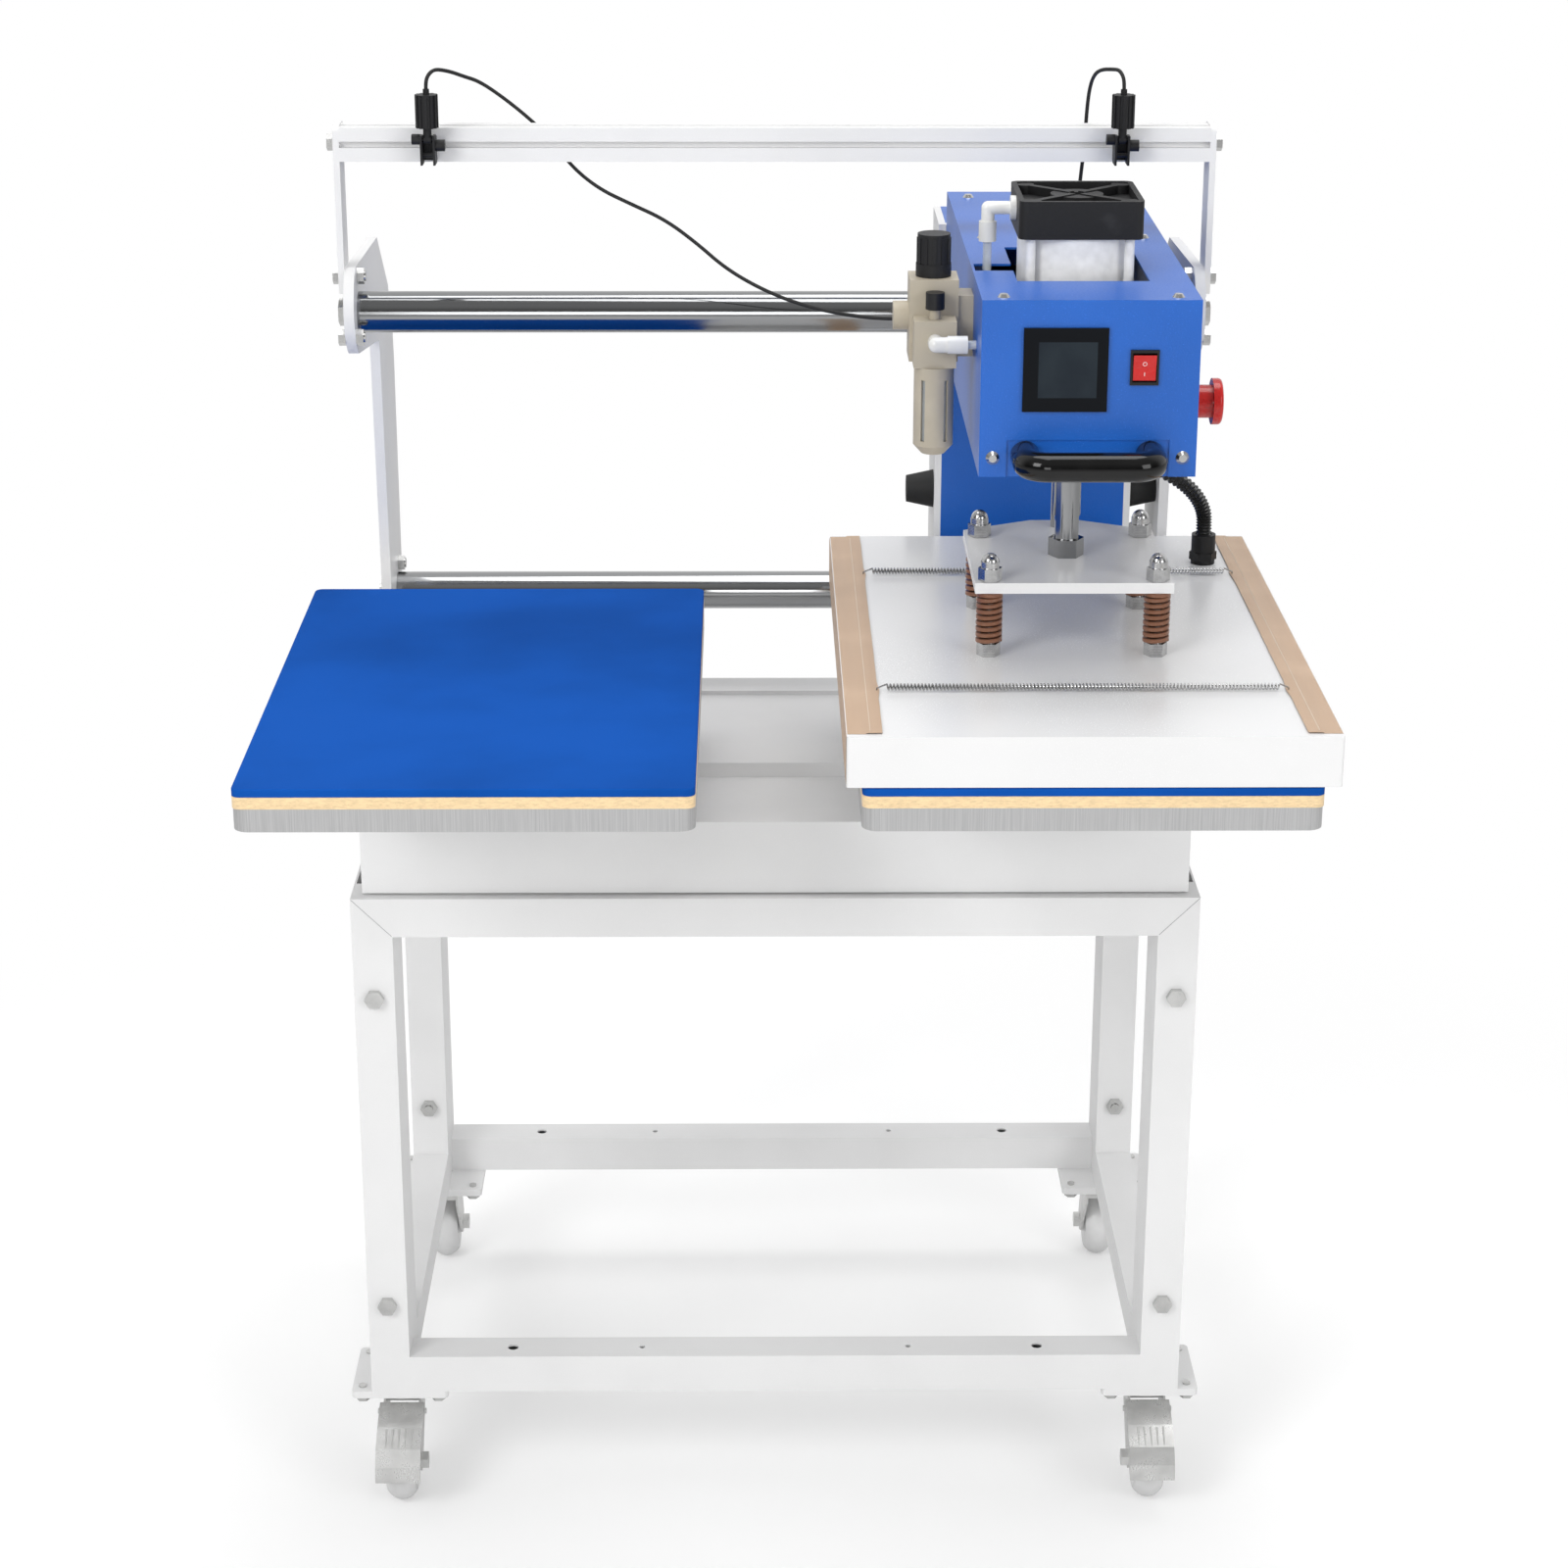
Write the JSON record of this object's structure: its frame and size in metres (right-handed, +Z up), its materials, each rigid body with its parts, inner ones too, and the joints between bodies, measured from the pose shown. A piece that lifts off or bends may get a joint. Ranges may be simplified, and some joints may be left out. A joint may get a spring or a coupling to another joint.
{
  "type": "dual station heat press",
  "caption": "Pneumatic heat press on a wheeled tube stand: a heated upper plate on a head that slides on guide shafts between side-by-side padded lower platens.",
  "frame": {"origin": "on the floor, in the middle of the press's footprint", "axes": "+X to the right for someone who stands in front, +Y to the back, +Z up"},
  "size_m": [0.9586, 0.909, 1.4473],
  "materials": {
    "white_paint": "powder coat",
    "blue_paint": "powder coat",
    "zinc_steel": "zinc plated",
    "chrome_steel": "hard chrome",
    "spring_brown": "painted spring steel",
    "bright_spring": "bright wire",
    "board_aluminium": "milled",
    "plate_aluminium": "cast",
    "cap_black": "black anodised",
    "cream_felt": "felt",
    "blue_silicone": "matt",
    "black_rubber": "matt",
    "wheel_plastic": "smooth tread",
    "black_plastic": "moulded",
    "grey_plastic": "moulded",
    "clear_tube": "translucent",
    "white_plastic": "moulded",
    "red_plastic": "moulded",
    "display_face": "polished",
    "brown_cloth": "coated glass cloth"
  },
  "bodies": {
    "stand": {"end_frames": "white_paint", "side_frames": "white_paint", "stand_bolts": "zinc_steel", "caster_plates": "white_paint", "base_tray": "white_paint", "platen_supports": "white_paint", "platen_boards": "board_aluminium", "platen_sponges": "cream_felt", "silicone_pads": "blue_silicone", "side_plates": "white_paint", "side_bolts": "zinc_steel", "guide_shafts": "chrome_steel", "laser_bar": "white_paint", "laser_posts": "white_paint", "laser_brackets": "black_plastic", "laser_cable_left": "black_rubber", "laser_cable_right": "black_rubber"},
    "head": {"head_casing": "blue_paint", "grip": "black_rubber", "casing_screws": "zinc_steel", "display": "display_face", "rocker_bezel": "black_plastic", "estop_base": "black_plastic", "head_frame": "white_paint", "bearing_housings": "plate_aluminium", "carriage_plates": "white_paint", "carriage_cover": "blue_paint", "bumpers": "black_rubber", "control_box": "black_plastic", "cylinder_barrel": "plate_aluminium", "cylinder_caps": "cap_black", "air_fittings": "white_plastic", "air_tubes": "clear_tube", "regulator_body": "grey_plastic", "regulator_bowl": "grey_plastic"},
    "press": {"press_rods": "chrome_steel", "pressure_plate": "white_paint", "die_springs": "spring_brown", "conduit": "black_plastic"},
    "heater": {"heater_cover": "white_paint", "heating_plate": "plate_aluminium", "heater_studs": "zinc_steel", "cloth_cover": "brown_cloth", "tension_springs": "bright_spring", "conduit_gland": "black_plastic"},
    "power_rocker": {"rocker_button": "red_plastic"},
    "stop_button": {"estop_button": "red_plastic"},
    "pressure_knob": {"regulator_knob": "black_plastic"},
    "laser_left": {"laser_module_left": "cap_black"},
    "laser_right": {"laser_module_right": "cap_black"},
    "swivel_front_left": {"caster_fork_front_left": "zinc_steel"},
    "wheel_front_left": {"caster_wheel_front_left": "wheel_plastic"},
    "pedal_front_left": {"brake_pedal_front_left": "zinc_steel"},
    "swivel_front_right": {"caster_fork_front_right": "zinc_steel"},
    "wheel_front_right": {"caster_wheel_front_right": "wheel_plastic"},
    "pedal_front_right": {"brake_pedal_front_right": "zinc_steel"},
    "swivel_rear_left": {"caster_fork_rear_left": "zinc_steel"},
    "wheel_rear_left": {"caster_wheel_rear_left": "wheel_plastic"},
    "swivel_rear_right": {"caster_fork_rear_right": "zinc_steel"},
    "wheel_rear_right": {"caster_wheel_rear_right": "wheel_plastic"}
  },
  "joints": [
    {"name": "head_slide", "type": "slide", "parent": "stand", "child": "head", "axis": [-1, 0, 0], "range_m": [0, 0.544], "deforming": ["laser_cable_left", "laser_cable_right"]},
    {"name": "press_stroke", "type": "slide", "parent": "head", "child": "press", "axis": [0, 0, 1], "range_m": [0, 0.06], "deforming": ["conduit"]},
    {"name": "heater_float", "type": "slide", "parent": "press", "child": "heater", "axis": [0, 0, 1], "range_m": [0, 0.004], "stiffness_N_per_m": 40000, "deforming": ["die_springs", "conduit"]},
    {"name": "rocker_tilt", "type": "hinge", "parent": "head", "child": "power_rocker", "pos_m": [0.3117, -0.3035, 1.235], "axis": [1, 0, 0], "range_deg": [-17.5, 0]},
    {"name": "stop_press", "type": "slide", "parent": "head", "child": "stop_button", "axis": [-1, 0, 0], "range_m": [0, 0.005]},
    {"name": "knob_turn", "type": "hinge", "parent": "head", "child": "pressure_knob", "pos_m": [0.1337, -0.1735, 1.31], "axis": [0, 0, 1], "range_deg": [-720, 720]},
    {"name": "laser_tilt_left", "type": "hinge", "parent": "stand", "child": "laser_left", "pos_m": [-0.3353, 0.0165, 1.382], "axis": [1, 0, 0], "range_deg": [-20, 20], "deforming": ["laser_cable_left"]},
    {"name": "laser_tilt_right", "type": "hinge", "parent": "stand", "child": "laser_right", "pos_m": [0.3207, 0.0165, 1.382], "axis": [1, 0, 0], "range_deg": [-20, 20], "deforming": ["laser_cable_right"]},
    {"name": "swivel_front_left", "type": "hinge", "parent": "stand", "child": "swivel_front_left", "pos_m": [-0.3938, -0.0835, 0.116], "axis": [0, 0, 1], "continuous": true},
    {"name": "roll_front_left", "type": "hinge", "parent": "swivel_front_left", "child": "wheel_front_left", "pos_m": [-0.3938, -0.1235, 0.04], "axis": [1, 0, 0], "continuous": true},
    {"name": "brake_front_left", "type": "hinge", "parent": "swivel_front_left", "child": "pedal_front_left", "pos_m": [-0.3938, -0.1135, 0.092], "axis": [1, 0, 0], "range_deg": [0, 6]},
    {"name": "swivel_front_right", "type": "hinge", "parent": "stand", "child": "swivel_front_right", "pos_m": [0.3792, -0.0835, 0.116], "axis": [0, 0, 1], "continuous": true},
    {"name": "roll_front_right", "type": "hinge", "parent": "swivel_front_right", "child": "wheel_front_right", "pos_m": [0.3792, -0.1235, 0.04], "axis": [1, 0, 0], "continuous": true},
    {"name": "brake_front_right", "type": "hinge", "parent": "swivel_front_right", "child": "pedal_front_right", "pos_m": [0.3792, -0.1135, 0.092], "axis": [1, 0, 0], "range_deg": [0, 6]},
    {"name": "swivel_rear_left", "type": "hinge", "parent": "stand", "child": "swivel_rear_left", "pos_m": [-0.3938, 0.3745, 0.116], "axis": [0, 0, 1], "continuous": true},
    {"name": "roll_rear_left", "type": "hinge", "parent": "swivel_rear_left", "child": "wheel_rear_left", "pos_m": [-0.3938, 0.4145, 0.04], "axis": [1, 0, 0], "continuous": true},
    {"name": "swivel_rear_right", "type": "hinge", "parent": "stand", "child": "swivel_rear_right", "pos_m": [0.3792, 0.3745, 0.116], "axis": [0, 0, 1], "continuous": true},
    {"name": "roll_rear_right", "type": "hinge", "parent": "swivel_rear_right", "child": "wheel_rear_right", "pos_m": [0.3792, 0.4145, 0.04], "axis": [1, 0, 0], "continuous": true}
  ]
}
